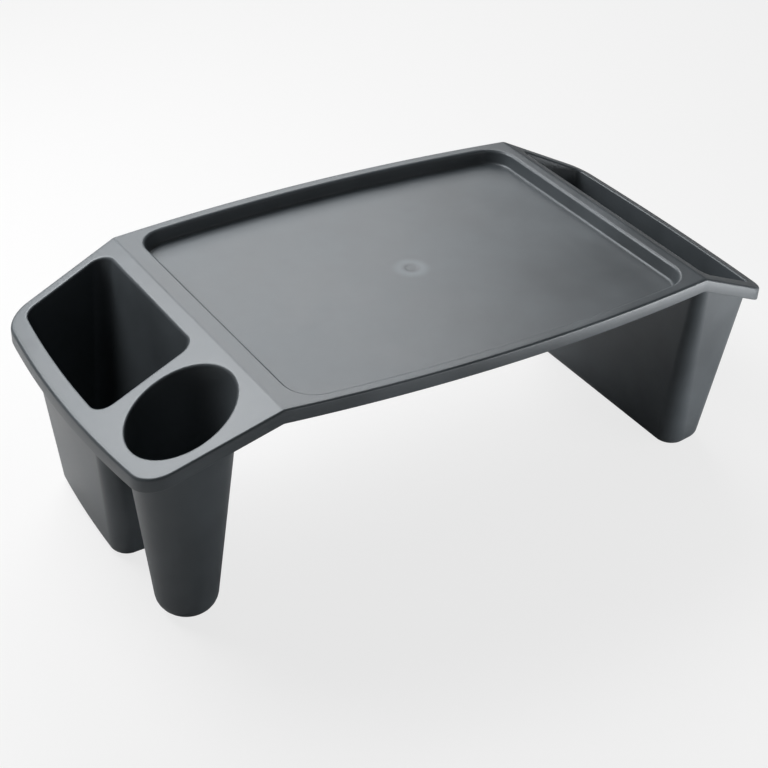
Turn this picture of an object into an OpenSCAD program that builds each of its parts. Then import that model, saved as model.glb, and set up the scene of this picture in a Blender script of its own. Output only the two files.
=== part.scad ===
// Lap table moulded in one shot: a dished tray between two sloping wings.
// The left wing opens into a storage bin and a cup holder, the right wing into one long pocket.
// These three drafted pockets are also the legs that the table stands on.
// Millimetres, +X along the length, +Y away from the user, +Z up, origin under the middle of the box.

/* [Overall] */
// Length over both wing ends
body_len = 565; // [540:1:620]
// Depth at the middle of the bowed long edges
body_depth = 295; // [275:1:320]
// Height from the ground to the top of the deck
body_height = 192; // [160:1:230]
// Thickness of every moulded wall
wall = 2.4; // [1.8:0.1:2.8]

/* [Rim] */
// How far the deck's long edges bow outwards
deck_bow = 12; // [4:0.1:18]
// Width of the top flange that the skirt hangs from
flange = 4.6; // [4:0.1:5.4]
// Height of the skirt that hangs from the edge all round
skirt_h = 11.5; // [8:0.5:16]
// How far the skirt leans in towards its lower edge
skirt_lean = 0.2; // [0.2:0.1:2.5]
// Rounding along the top edge of the skirt
edge_r = 1.8; // [1:0.1:2.2]

/* [Wings] */
// Reach of the left wing past its bend
left_run = 105.1; // [100:0.1:120]
// Reach of the right wing past its bend
right_run = 88.5; // [84:0.1:110]
// How far each wing has dropped at its two end corners
wing_drop = 38.5; // [25:0.1:48]
// Depth of a wing between its two end corners
end_depth = 244.1; // [225:0.1:255]
// How far the end edges bow outwards
end_bow = 7.8; // [3:0.1:10]
// Plan radius of the left wing's corners
left_corner_r = 25.5; // [14:0.5:30]
// Plan radius of the right wing's corners
right_corner_r = 20; // [12:0.5:24]

/* [Tray] */
// Depth of the dished tray below the deck
tray_depth = 12; // [8:0.5:16]
// Flat border between the left bend and the tray
border_left = 16; // [11:0.1:18]
// Flat border between the tray and the right bend
border_right = 10.6; // [9:0.1:16]
// Flat border along the two long edges
border_long = 10.2; // [8.8:0.1:14]
// Plan radius of the tray's corners
tray_corner_r = 23; // [12:0.5:30]
// How far the tray wall leans in towards the floor
tray_lean = 1; // [0.4:0.1:2]
// Fillet between the tray wall and its floor
tray_fillet = 2.6; // [1:0.1:4]
// Radius of the round gate mark in the tray floor
gate_r = 6; // [3:0.5:9]
// Depth of the gate mark
gate_sink = 0.4; // [0.2:0.1:0.8]
// How far the gate mark lies right of the deck's middle
gate_right = 5.6; // [0:0.1:12]
// How far the gate mark lies beyond the middle of the depth
gate_far = 3.4; // [0:0.1:12]

/* [Pocket mouths] */
// Rounding of the lip round each mouth and the tray
lip_r = 1.8; // [1:0.1:2.2]
// Flat of that lip outside its wall
lip_land = 0.5; // [0.3:0.1:0.8]
// Rim left outside the bin
bin_rim = 14.1; // [9:0.1:16]
// Rim left along the bin's far side
bin_far_rim = 9.6; // [9:0.1:13]
// Distance from the left bend to the bin
bin_gap = 12.1; // [10:0.1:20]
// Web left between the bin and the cup holder
bin_web = 10.2; // [8:0.1:16]
// How far the bin's near edge runs towards the user per unit of length
bin_skew_share = 0.09; // [0.06:0.01:0.15]
// Plan radius of the bin's mouth
bin_corner_r = 11.5; // [8:0.5:16]
// Long width of the oval cup mouth
cup_long = 83.5; // [77:0.1:85]
// Short width of the oval cup mouth
cup_short = 75.8; // [70:0.1:77]
// Turn of the oval's long axis from the length of the table
cup_turn = 35; // [0:1:45]
// Distance from the cup mouth to the wing's furthest reach
cup_rim = 15.8; // [11.5:0.1:18]
// Distance from the cup mouth to the wing's near edge
cup_near_rim = 12.1; // [9:0.1:14]
// Rim left outside the long pocket
pocket_rim = 12.6; // [10:0.1:16]
// Rim left at the long pocket's near and far ends
pocket_end_rim = 12; // [9:0.1:16]
// Distance from the right bend to the long pocket
pocket_gap = 10.8; // [9:0.1:14]
// Plan radius of the long pocket's mouth
pocket_corner_r = 6; // [4:0.5:16]

/* [Feet] */
// Rounding round the underside of each foot
foot_r = 8; // [5:0.5:11]
// Fillet round the floor inside each pocket
floor_r = 6; // [3:0.5:8]
// How far the bin's outer wall has come in at the ground, from the wing's end
bin_foot_out = 34; // [26:0.1:38]
// How far the bin's far wall has come in at the ground, from the wing's far edge
bin_foot_far = 14.7; // [11:0.1:24]
// How far the bin's near wall has drawn back at the ground, from its line at the mouth
bin_foot_near = 18.5; // [5:0.1:21]
// Distance from the left bend to the bin's inner wall, at the ground
bin_foot_gap = 21; // [18:0.1:26]
// How far the bin's near wall runs towards the user at the ground, per unit of length
bin_foot_skew_share = 0.03; // [0:0.01:0.12]
// Plan radius of the bin's foot
bin_foot_corner_r = 14; // [8:0.2:16]
// Radius of the cup holder's foot
cup_foot_r = 22.1; // [19:0.1:27]
// Rounding round the underside of the cup holder's foot
cup_round_r = 15; // [7:0.5:16]
// How far the cup holder's foot is set towards the deck
cup_lean_in = 0.2; // [0:0.1:5]
// How far the cup holder's foot is set towards the user
cup_lean_near = 2.6; // [0:0.1:4]
// How far the long pocket's outer wall has come in at the ground, from the wing's end
pocket_foot_out = 22.3; // [16:0.1:24]
// How far the long pocket's end walls have come in at the ground, from the wing's long edges
pocket_foot_end = 29.4; // [18:0.1:32]
// Distance from the right bend to the long pocket's inner wall, at the ground
pocket_foot_gap = 21.4; // [17:0.1:24]
// Plan radius of the long pocket's foot
pocket_foot_corner_r = 16; // [10:0.5:18]

/* [Hidden] */

// Fineness: steps of a plan corner, a bowed edge, a small rounding and an oval, and faces of a full circle
corner_steps = 8;
bow_steps = 8;
round_steps = 4;
oval_steps = 56;
circle_fn = 720;
mark_fn = 48;
quarter = 90;

// What a cut runs past the piece it cuts
overrun = 1;
// Rounding along the lower edge of the skirt
hem_r = 0.7;

plastic = [0.24, 0.25, 0.26];

lip_w = wall + lip_land;
deck_len = body_len - left_run - right_run;
deck_x = (left_run - right_run) / 2;
left_bend = deck_x - deck_len / 2;
right_bend = deck_x + deck_len / 2;
bend_depth = body_depth - 2 * deck_bow;
left_slope = wing_drop / (left_run - end_bow);
right_slope = wing_drop / (right_run - end_bow);

// Radius of the circle whose arc bows by sag over a chord
function bow_radius(chord, sag) = (chord * chord / 4 + sag * sag) / (2 * sag);
deck_r = bow_radius(deck_len, deck_bow);
end_r = bow_radius(end_depth, end_bow);
deck_centre_y = deck_r - body_depth / 2;

function unit(v) = v / norm(v);
function mix(a, b, share) = a + (b - a) * share;

// Direction, square to the outline, that moves both sides of a point outwards by one
function miter(before, at, after) =
    let (a = unit(at - before), b = unit(after - at), along = unit(a + b))
    [along.y, -along.x] / (along * a);

// Closed outline moved outwards by d, or inwards where d is negative
function grown(ring, d) =
    let (n = len(ring))
    [for (i = [0:n - 1]) ring[i] + d * miter(ring[(i + n - 1) % n], ring[i], ring[(i + 1) % n])];

// Arc of radius r that rounds the corner at b between its neighbours a and c
function corner_arc(a, b, c, r) =
    let (u = unit(a - b), v = unit(c - b), half = acos(u * v) / 2,
         centre = b + unit(u + v) * r / sin(half),
         start = b + u * r / tan(half) - centre, stop = b + v * r / tan(half) - centre,
         from = atan2(start.y, start.x),
         turn = (atan2(stop.y, stop.x) - from + 540) % 360 - 180)
    [for (i = [0:corner_steps]) let (t = from + turn * i / corner_steps) centre + r * [cos(t), sin(t)]];

// Outline or path with each corner rounded by its own radius, or kept where that is zero
function rounded(points, radii) =
    let (n = len(points))
    [for (i = [0:n - 1]) each radii[i] > 0
        ? corner_arc(points[(i + n - 1) % n], points[i], points[(i + 1) % n], radii[i])
        : [points[i]]];

// Wings are drawn in their own plan: reach past the bend, then place along the depth.
// Height of a wing's top surface at a reach
function top_z(reach, slope) = body_height - reach * slope;

// Half depth between a wing's long edges at a reach, taken in by an inset
function wing_edge(reach, run, inset) =
    let (taper = (bend_depth - end_depth) / 2 / (run - end_bow))
    bend_depth / 2 - reach * taper - inset * norm([1, taper]);

// Reach of a wing's bowed end at a place along the depth, taken in by an inset
function end_reach(y, run, inset) = run - end_r + sqrt(pow(end_r - inset, 2) - y * y);

// Points of a bowed wing end between two places along the depth, without the two ends
function end_points(from, to, run, inset, steps) =
    [for (i = [1:steps - 1]) let (y = mix(from, to, i / steps)) [end_reach(y, run, inset), y]];

// Outer edge of a wing, from the near end of its bend round to the far end
function wing_path(run, corner_r) =
    let (bows = end_points(-end_depth / 2, end_depth / 2, run, 0, bow_steps), zeros = [for (b = bows) 0])
    rounded(concat([[0, -bend_depth / 2], [run - end_bow, -end_depth / 2]], bows,
                   [[run - end_bow, end_depth / 2], [0, bend_depth / 2]]),
            concat([0, corner_r], zeros, [corner_r, 0]));

// Miters of a wing path; at the bend the path goes on as its mirror image
function path_miters(path) =
    let (n = len(path))
    [for (i = [0:n - 1]) miter(i == 0 ? [-path[1].x, path[1].y] : path[i - 1], path[i],
                               i == n - 1 ? [-path[n - 2].x, path[n - 2].y] : path[i + 1])];

function inset_path(path, inset) =
    let (miters = path_miters(path))
    [for (i = [0:len(path) - 1]) path[i] - inset * miters[i]];

// Section of the rim: inset from the outer edge, then height above the top surface.
// Its lower edge is rounded on both sides, so its outer face leans in and its inner face runs parallel.
hem_steps = 3;
rim_section = concat(
    [[flange, 0]],
    [for (i = [0:round_steps]) let (t = quarter * i / round_steps)
        [edge_r * (1 - sin(t)), edge_r * (cos(t) - 1)]],
    [for (i = [0:hem_steps]) let (t = quarter * i / hem_steps)
        [skirt_lean + hem_r * (1 - cos(t)), hem_r * (1 - sin(t)) - skirt_h]],
    [for (i = [0:hem_steps]) let (t = quarter * i / hem_steps)
        [skirt_lean + wall - hem_r * (1 - sin(t)), hem_r * (1 - cos(t)) - skirt_h]],
    [[wall, -wall], [flange, -wall]]);

// Closed skin through a stack of rings of equal counts, capped at both ends or joined into a loop
module loft(rings, looped = false) {
    n = len(rings[0]);
    k = len(rings);
    points = [for (ring = rings) each ring];
    sides = [for (j = [0:looped ? k - 1 : k - 2], i = [0:n - 1])
        let (here = j * n + i, next = j * n + (i + 1) % n,
             up = (j + 1) % k * n + i, beyond = (j + 1) % k * n + (i + 1) % n)
        each [[here, up, beyond], [here, beyond, next]]];
    caps = looped ? [] : [[for (i = [0:n - 1]) i], [for (i = [n - 1:-1:0]) (k - 1) * n + i]];
    polyhedron(points = points, faces = concat(sides, caps));
}

// Puts what is drawn in a wing's own plan at its bend
module at_left_bend() { translate([left_bend, 0, 0]) mirror([1, 0, 0]) children(); }
module at_right_bend() { translate([right_bend, 0, 0]) children(); }

// The tray's wall line at the deck's surface: straight ends and bowed long edges
tray_left = left_bend + border_left;
tray_right = right_bend - border_right;
function deck_edge(x, inset) = sqrt(pow(deck_r - inset, 2) - pow(x - deck_x, 2)) - deck_centre_y;
function long_edge(from, to, side) =
    [for (i = [0:bow_steps]) let (x = mix(from, to, i / bow_steps)) [x, side * deck_edge(x, border_long)]];
tray_radii = [for (i = [0:bow_steps]) i == 0 || i == bow_steps ? tray_corner_r : 0];
tray_mouth = rounded(concat(long_edge(tray_left, tray_right, -1), long_edge(tray_right, tray_left, 1)),
                     concat(tray_radii, tray_radii));
tray_inset = tray_lean + tray_fillet;

// Section of the tray's wall: outwards from the wall line, then height above the deck's surface
tray_section = concat(
    [[lip_w, 0]],
    [for (i = [0:round_steps]) let (t = quarter * i / round_steps) [lip_r * (1 - sin(t)), lip_r * (cos(t) - 1)]],
    [for (i = [0:round_steps]) let (t = quarter * i / round_steps)
        [tray_fillet * (cos(t) - 1) - tray_lean, tray_fillet * (1 - sin(t)) - tray_depth]],
    [for (i = [0:round_steps]) let (t = quarter * i / round_steps, r = tray_fillet + wall)
        [r * sin(t) - tray_inset, r * (1 - cos(t)) - tray_depth - wall]],
    [[wall, -wall], [lip_w, -wall]]);

module tray_floor() {
    color(plastic) difference() {
        translate([0, 0, body_height - tray_depth - wall]) linear_extrude(wall)
            polygon(grown(tray_mouth, -tray_inset));
        translate([deck_x + gate_right, gate_far, body_height - tray_depth - gate_sink])
            cylinder(r = gate_r, h = gate_sink + overrun, $fn = mark_fn);
    }
}

module tray_wall() {
    color(plastic) loft([for (s = tray_section) [for (p = grown(tray_mouth, s[0])) [p.x, p.y, body_height + s[1]]]],
                        looped = true);
}

module deck_border() {
    color(plastic) translate([0, 0, body_height - wall]) linear_extrude(wall) difference() {
        intersection() {
            translate([deck_x, 0]) square([deck_len, body_depth], center = true);
            translate([deck_x, deck_centre_y]) circle(r = deck_r - flange, $fn = circle_fn);
            translate([deck_x, -deck_centre_y]) circle(r = deck_r - flange, $fn = circle_fn);
        }
        polygon(grown(tray_mouth, lip_w));
    }
}

// Rim of one bowed long edge of the deck, swept about the centre of its bow and cut off at the two bends
module long_rim() {
    half_turn = asin((deck_len / 2 + overrun) / (deck_r - flange));
    intersection() {
        translate([deck_x, deck_centre_y, body_height]) rotate([0, 0, 3 * quarter - half_turn])
            rotate_extrude(angle = 2 * half_turn, $fn = circle_fn)
                polygon([for (s = rim_section) [deck_r - s[0], s[1]]]);
        translate([left_bend, -body_depth, body_height - 2 * skirt_h]) cube([deck_len, body_depth, 3 * skirt_h]);
    }
}

module front_rim() { color(plastic) long_rim(); }

module rear_rim() { color(plastic) mirror([0, 1, 0]) long_rim(); }

// Sloping plate of a wing inside its rim, with the holes that the mouths' lips fill
module wing_plate(run, slope, corner_r, holes) {
    intersection() {
        linear_extrude(body_height + overrun) difference() {
            polygon(inset_path(wing_path(run, corner_r), flange));
            for (hole = holes) polygon(hole);
        }
        rotate([quarter, 0, 0]) linear_extrude(body_depth, center = true)
            polygon([[0, top_z(0, slope)], [0, top_z(0, slope) - wall],
                     [run, top_z(run, slope) - wall], [run, top_z(run, slope)]]);
    }
}

// Rim of a wing: the rim's section carried round the wing path, its heights following the slope
module wing_rim(run, slope, corner_r) {
    path = wing_path(run, corner_r);
    miters = path_miters(path);
    loft([for (i = [0:len(path) - 1]) [for (s = rim_section)
        let (p = path[i] - s[0] * miters[i]) [p.x, p.y, top_z(p.x, slope) + s[1]]]]);
}

// Ring of a pocket wall where it has sunk by drop from a mouth outline towards a foot outline
function sunk_ring(mouth, foot, slope, drop, outset) =
    let (ring = grown([for (i = [0:len(mouth) - 1])
             mix(mouth[i], foot[i], drop / top_z(mouth[i].x, slope))], outset))
    [for (p = ring) [p.x, p.y, top_z(p.x, slope) - drop]];

// Ring of a pocket wall at a height above the ground
function low_ring(mouth, foot, slope, height, outset) =
    let (ring = grown([for (i = [0:len(mouth) - 1])
             mix(foot[i], mouth[i], height / top_z(mouth[i].x, slope))], outset))
    [for (p = ring) [p.x, p.y, height]];

// A pocket with a lip, drafted walls and a flat foot. Both outlines have equal counts:
// mouth is its inner wall line at the wing's surface, foot its outer wall line at the ground.
module pocket(mouth, foot, slope, under_r, inner_r) {
    outer = grown(mouth, wall);
    inner = grown(foot, -wall);
    turns = [for (i = [0:round_steps]) quarter * i / round_steps];
    loft(concat(
        [for (t = turns) low_ring(outer, foot, slope, under_r * (1 - cos(t)), under_r * (sin(t) - 1))],
        [sunk_ring(outer, foot, slope, wall, 0), sunk_ring(mouth, inner, slope, wall, lip_w),
         sunk_ring(mouth, inner, slope, 0, lip_w)],
        [for (t = turns) sunk_ring(mouth, inner, slope, lip_r * (1 - cos(t)), lip_r * (1 - sin(t)))],
        [for (t = turns) low_ring(mouth, inner, slope, wall + inner_r * (1 - sin(t)), inner_r * (cos(t) - 1))]));
}

// Outline of a four-sided mouth or foot with a bowed outer edge
function bowed_outline(inner_x, near_inner, near_outer, far_inner, far_outer, run, inset, r) =
    let (bows = end_points(near_outer, far_outer, run, inset, bow_steps / 2), zeros = [for (b = bows) 0])
    rounded(concat([[inner_x, near_inner], [end_reach(near_outer, run, inset), near_outer]], bows,
                   [[end_reach(far_outer, run, inset), far_outer], [inner_x, far_inner]]),
            concat([r, r], zeros, [r, r]));

// Cup holder: an oval mouth that tapers to a round foot
cup_long_r = cup_long / 2;
cup_short_r = cup_short / 2;
cup_half_x = norm([cup_long_r * cos(cup_turn), cup_short_r * sin(cup_turn)]);
cup_half_y = norm([cup_long_r * sin(cup_turn), cup_short_r * cos(cup_turn)]);
cup_reach = left_run - cup_rim - cup_half_x;
cup_y = cup_half_y - wing_edge(cup_reach, left_run, cup_near_rim);
cup_angles = [for (i = [0:oval_steps - 1]) 360 * i / oval_steps];
cup_mouth = [for (t = cup_angles) let (u = cup_long_r * cos(t), v = cup_short_r * sin(t))
    [cup_reach + u * cos(cup_turn) + v * sin(cup_turn), cup_y - u * sin(cup_turn) + v * cos(cup_turn)]];
cup_foot = [for (t = cup_angles)
    [cup_reach - cup_lean_in, cup_y - cup_lean_near] + cup_foot_r * [cos(t - cup_turn), sin(t - cup_turn)]];

// Storage bin: it takes what the cup holder leaves of the left wing
function bin_near(reach, skew) = cup_y + cup_half_y + bin_web + (cup_reach - reach) * skew;
bin_outer = end_reach(0, left_run, bin_rim);
bin_mouth = bowed_outline(bin_gap, bin_near(bin_gap, bin_skew_share), bin_near(bin_outer, bin_skew_share),
    wing_edge(bin_gap, left_run, bin_far_rim), wing_edge(left_run - end_bow - bin_rim, left_run, bin_far_rim),
    left_run, bin_rim, bin_corner_r);
bin_foot_outer = end_reach(0, left_run, bin_foot_out);
bin_foot = bowed_outline(bin_foot_gap, bin_near(bin_foot_gap, bin_foot_skew_share) + bin_foot_near,
    bin_near(bin_foot_outer, bin_foot_skew_share) + bin_foot_near,
    wing_edge(bin_foot_gap, left_run, bin_foot_far),
    wing_edge(left_run - end_bow - bin_foot_out, left_run, bin_foot_far),
    left_run, bin_foot_out, bin_foot_corner_r);

// Long pocket along the right wing
pocket_end = wing_edge(right_run - end_bow - pocket_rim, right_run, pocket_end_rim);
pocket_mouth = bowed_outline(pocket_gap, -wing_edge(pocket_gap, right_run, pocket_end_rim), -pocket_end,
    wing_edge(pocket_gap, right_run, pocket_end_rim), pocket_end, right_run, pocket_rim, pocket_corner_r);
pocket_foot_y = wing_edge(right_run - end_bow - pocket_foot_out, right_run, pocket_foot_end);
pocket_foot_inner_y = wing_edge(pocket_foot_gap, right_run, pocket_foot_end);
pocket_foot = bowed_outline(pocket_foot_gap, -pocket_foot_inner_y, -pocket_foot_y, pocket_foot_inner_y,
    pocket_foot_y, right_run, pocket_foot_out, pocket_foot_corner_r);

module left_wing() {
    color(plastic) at_left_bend()
        wing_plate(left_run, left_slope, left_corner_r, [grown(bin_mouth, lip_w), grown(cup_mouth, lip_w)]);
}

module right_wing() {
    color(plastic) at_right_bend()
        wing_plate(right_run, right_slope, right_corner_r, [grown(pocket_mouth, lip_w)]);
}

module left_rim() { color(plastic) at_left_bend() wing_rim(left_run, left_slope, left_corner_r); }

module right_rim() { color(plastic) at_right_bend() wing_rim(right_run, right_slope, right_corner_r); }

module storage_bin() { color(plastic) at_left_bend() pocket(bin_mouth, bin_foot, left_slope, foot_r, floor_r); }

module cup_holder() {
    color(plastic) at_left_bend() pocket(cup_mouth, cup_foot, left_slope, cup_round_r, cup_round_r - wall);
}

module side_pocket() {
    color(plastic) at_right_bend() pocket(pocket_mouth, pocket_foot, right_slope, foot_r, floor_r);
}

tray_floor();
tray_wall();
deck_border();
front_rim();
rear_rim();
left_wing();
right_wing();
left_rim();
right_rim();
storage_bin();
cup_holder();
side_pocket();
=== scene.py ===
"""Moulded plastic lap table: a dished tray between two sloping wings that stand on their own pockets.

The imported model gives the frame. Every region of the moulding is made again here as a fine surface,
worked out with numpy from the same driving sizes, and dressed in one satin polypropylene.
Lengths are metres, +X runs along the table, +Y away from the user and +Z up.
"""
import logging
import math
from abc import ABC, abstractmethod
from dataclasses import dataclass
from enum import Enum
from functools import cached_property

import bpy
import numpy as np
from mathutils import Matrix, Vector
from mathutils.geometry import tessellate_polygon


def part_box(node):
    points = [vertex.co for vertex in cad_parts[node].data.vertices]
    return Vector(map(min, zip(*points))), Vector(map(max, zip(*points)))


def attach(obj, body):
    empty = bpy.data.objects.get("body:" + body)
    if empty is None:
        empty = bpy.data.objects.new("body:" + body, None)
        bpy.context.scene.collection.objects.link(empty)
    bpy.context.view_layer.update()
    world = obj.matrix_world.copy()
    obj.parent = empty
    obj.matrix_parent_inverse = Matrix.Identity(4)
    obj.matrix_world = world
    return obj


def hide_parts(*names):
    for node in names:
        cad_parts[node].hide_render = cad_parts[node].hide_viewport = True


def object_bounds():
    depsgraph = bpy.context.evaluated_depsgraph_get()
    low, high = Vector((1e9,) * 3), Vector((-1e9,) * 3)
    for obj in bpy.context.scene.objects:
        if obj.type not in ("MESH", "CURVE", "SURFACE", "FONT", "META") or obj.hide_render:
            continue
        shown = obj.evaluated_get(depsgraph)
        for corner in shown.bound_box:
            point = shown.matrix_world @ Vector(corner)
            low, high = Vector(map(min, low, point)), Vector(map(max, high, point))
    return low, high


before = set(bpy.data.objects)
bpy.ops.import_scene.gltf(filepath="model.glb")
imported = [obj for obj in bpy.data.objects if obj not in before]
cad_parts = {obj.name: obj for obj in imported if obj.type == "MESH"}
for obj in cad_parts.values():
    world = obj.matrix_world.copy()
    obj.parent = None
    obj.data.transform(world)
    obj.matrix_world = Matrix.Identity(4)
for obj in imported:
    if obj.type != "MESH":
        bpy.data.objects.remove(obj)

log = logging.getLogger("lap_table")

# One millimetre in metres
MM = 0.001
# The table's only body
ROOT_BODY = "root"
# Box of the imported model
CAD_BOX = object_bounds()
# Turn between two faces past which their edge is shaded sharp
SHARP_ANGLE = math.radians(34)
# Steps of Newton's method that place the centre of a rounding
NEWTON_STEPS = 8
# Noise values that count as darkest and lightest in the flow marks
NOISE_SPAN = (0.3, 0.7)
# Octaves of the flow marks' noise
FLOW_DETAIL = 3


class Side(Enum):
    """Which wing a piece belongs to, as the sign of its reach along X."""

    LEFT = -1
    RIGHT = 1


class Fineness(Enum):
    """How many steps a stretch of outline or section is divided into."""

    CORNER = 20
    EDGE = 24
    LONG_EDGE = 72
    BEND = 7
    LIP = 8
    FILLET = 8
    WALL = 12
    OVAL = 176
    GATE = 6


def unit(vectors: np.ndarray) -> np.ndarray:
    """Scales each vector of an array to length one."""
    return vectors / np.linalg.norm(vectors, axis=-1, keepdims=True)


def quarter_turn(vectors: np.ndarray) -> np.ndarray:
    """Turns each plan vector a quarter turn clockwise, which points out of a counter-clockwise outline."""
    return np.stack([vectors[..., 1], -vectors[..., 0]], axis=-1)


def miters(before: np.ndarray, at: np.ndarray, after: np.ndarray) -> np.ndarray:
    """Gives the plan shift of each point that moves both its neighbouring edges outwards by one.

    The shift is square to the mean of the two edge directions and longer by one over the cosine
    of half the turn between them.

    Args:
        before: The points before each point.
        at: The points themselves.
        after: The points after them.

    Returns:
        One plan vector for each point.
    """
    arriving, leaving = unit(at - before), unit(after - at)
    along = unit(arriving + leaving)
    return quarter_turn(along) / np.sum(along * arriving, axis=-1, keepdims=True)


def grown(ring: np.ndarray, distance: float) -> np.ndarray:
    """Moves a closed counter-clockwise outline outwards by a distance, or inwards where it is negative."""
    return ring + distance * miters(np.roll(ring, 1, axis=0), ring, np.roll(ring, -1, axis=0))


def hermite(start: np.ndarray, start_way: np.ndarray, stop: np.ndarray, stop_way: np.ndarray,
            steps: int) -> np.ndarray:
    """Joins two plan points by a cubic curve that keeps their directions, without the points themselves.

    With t from 0 to 1 the curve is the usual cubic Hermite blend, and both end tangents are as long
    as the chord, so a straight stretch stays straight and a bowed one follows its circle.

    Args:
        start: First point.
        start_way: Unit direction at the first point.
        stop: Last point.
        stop_way: Unit direction at the last point.
        steps: How many equal steps the curve has.

    Returns:
        The points between the two ends.
    """
    t = (np.arange(1, steps) / steps)[:, None]
    chord = np.linalg.norm(stop - start)
    return ((2 * t**3 - 3 * t**2 + 1) * start + (t**3 - 2 * t**2 + t) * chord * start_way
            + (3 * t**2 - 2 * t**3) * stop + (t**3 - t**2) * chord * stop_way)


@dataclass(frozen=True)
class Edge:
    """One edge of a counter-clockwise outline, straight or bowed outwards as an arc.

    Attributes:
        start: Its first plan point.
        stop: Its last plan point.
        radius: Radius of its bow, or zero where it is straight.
    """

    start: tuple[float, float]
    stop: tuple[float, float]
    radius: float = 0.0

    def inward(self, point: np.ndarray) -> tuple[np.ndarray, float]:
        """Gives the direction into the outline at a point, and how far inside the edge the point lies.

        The centre of a bow lies inside the middle of the chord, by the root of the radius squared
        less a quarter of the chord squared.

        Args:
            point: Plan point.

        Returns:
            Unit direction and distance.
        """
        start, stop = np.array(self.start), np.array(self.stop)
        square = -quarter_turn(unit(stop - start))
        if not self.radius:
            return square, float((point - start) @ square)
        half = float(np.linalg.norm(stop - start)) / 2
        away = (start + stop) / 2 + square * math.sqrt(self.radius**2 - half**2) - point
        return unit(away), self.radius - float(np.linalg.norm(away))

    def stretch(self, start: np.ndarray, stop: np.ndarray, steps: int) -> np.ndarray:
        """Gives the points between two points of the edge, without the points themselves."""
        ways = [quarter_turn(self.inward(point)[0]) for point in (start, stop)]
        return hermite(start, ways[0], stop, ways[1], steps)


def rounding(before: Edge, after: Edge, radius: float) -> np.ndarray:
    """Rounds the corner between two edges by an arc that touches both.

    The arc's centre lies one radius inside both edges. Newton's method finds it from the corner,
    with the two inward directions as its slopes.

    Args:
        before: The edge that ends at the corner.
        after: The edge that starts there.
        radius: Radius of the arc.

    Returns:
        The points of the arc with both its ends.
    """
    centre = np.array(after.start)
    for _ in range(NEWTON_STEPS):
        (first, first_depth), (second, second_depth) = before.inward(centre), after.inward(centre)
        short = [radius - first_depth, radius - second_depth]
        centre = centre + np.linalg.solve(np.stack([first, second]), short)
    heading = math.atan2(-first[1], -first[0])
    turn = math.atan2(first[0] * second[1] - first[1] * second[0], float(first @ second))
    angles = heading + turn * np.linspace(0, 1, Fineness.CORNER.value + 1)
    return centre + radius * np.stack([np.cos(angles), np.sin(angles)], axis=1)


def rounded_outline(edges: list[Edge], radius: float, steps: tuple[int, ...]) -> np.ndarray:
    """Draws a closed counter-clockwise outline whose corners are all rounded alike.

    Args:
        edges: Its edges in order.
        radius: Radius of its corners.
        steps: Steps of each edge between its roundings.

    Returns:
        The outline's points, one row each.
    """
    arcs = [rounding(edges[i - 1], edge, radius) for i, edge in enumerate(edges)]
    stretches = [edge.stretch(arc[-1], beyond[0], count)
                 for edge, arc, beyond, count in zip(edges, arcs, arcs[1:] + arcs[:1], steps)]
    return np.concatenate([part for pair in zip(arcs, stretches) for part in pair])


def section_arc(centre: tuple[float, float], radius: float, start: float, stop: float,
                steps: int) -> np.ndarray:
    """Gives points of a section's arc, from one angle in degrees to another, with both ends."""
    angles = np.radians(np.linspace(start, stop, steps + 1))
    return np.array(centre) + radius * np.stack([np.cos(angles), np.sin(angles)], axis=1)


def grid_quads(rows: int, columns: int, loop_rows: bool) -> np.ndarray:
    """Numbers the quads of a grid whose columns close on themselves.

    Args:
        rows: How many rows of points there are.
        columns: How many points there are in a row.
        loop_rows: Whether the last row joins the first.

    Returns:
        Four point numbers for each quad.
    """
    row, column = np.meshgrid(np.arange(rows if loop_rows else rows - 1), np.arange(columns), indexing="ij")
    above, beside = (row + 1) % rows, (column + 1) % columns
    corners = [row * columns + column, row * columns + beside,
               above * columns + beside, above * columns + column]
    return np.stack([corner.ravel() for corner in corners], axis=1)


def put_mesh(name: str, points: np.ndarray, faces: list[np.ndarray], flipped: bool) -> bpy.types.Object:
    """Makes a smooth object from points and arrays of faces, with its sharp edges marked by angle.

    Args:
        name: Name of the piece.
        points: Places, one row each.
        faces: Arrays of point numbers; each array holds faces of one size.
        flipped: Whether the faces are turned over, as for a piece drawn in mirror image.

    Returns:
        The new object, at the origin.
    """
    faces = [np.atleast_2d(block)[:, ::-1] if flipped else np.atleast_2d(block) for block in faces]
    sizes = np.concatenate([np.full(len(block), block.shape[1]) for block in faces])
    mesh = bpy.data.meshes.new(name)
    mesh.vertices.add(len(points))
    mesh.vertices.foreach_set("co", np.asarray(points, dtype=np.float32).ravel())
    mesh.loops.add(int(sizes.sum()))
    corners = np.concatenate([block.ravel() for block in faces])
    mesh.loops.foreach_set("vertex_index", corners.astype(np.int32))
    mesh.polygons.add(len(sizes))
    mesh.polygons.foreach_set("loop_start", (np.cumsum(sizes) - sizes).astype(np.int32))
    mesh.polygons.foreach_set("use_smooth", np.ones(len(sizes), dtype=bool))
    mesh.update(calc_edges=True)
    mesh.validate()
    mesh.set_sharp_from_angle(angle=SHARP_ANGLE)
    piece = bpy.data.objects.new(name, mesh)
    bpy.context.collection.objects.link(piece)
    return piece


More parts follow.
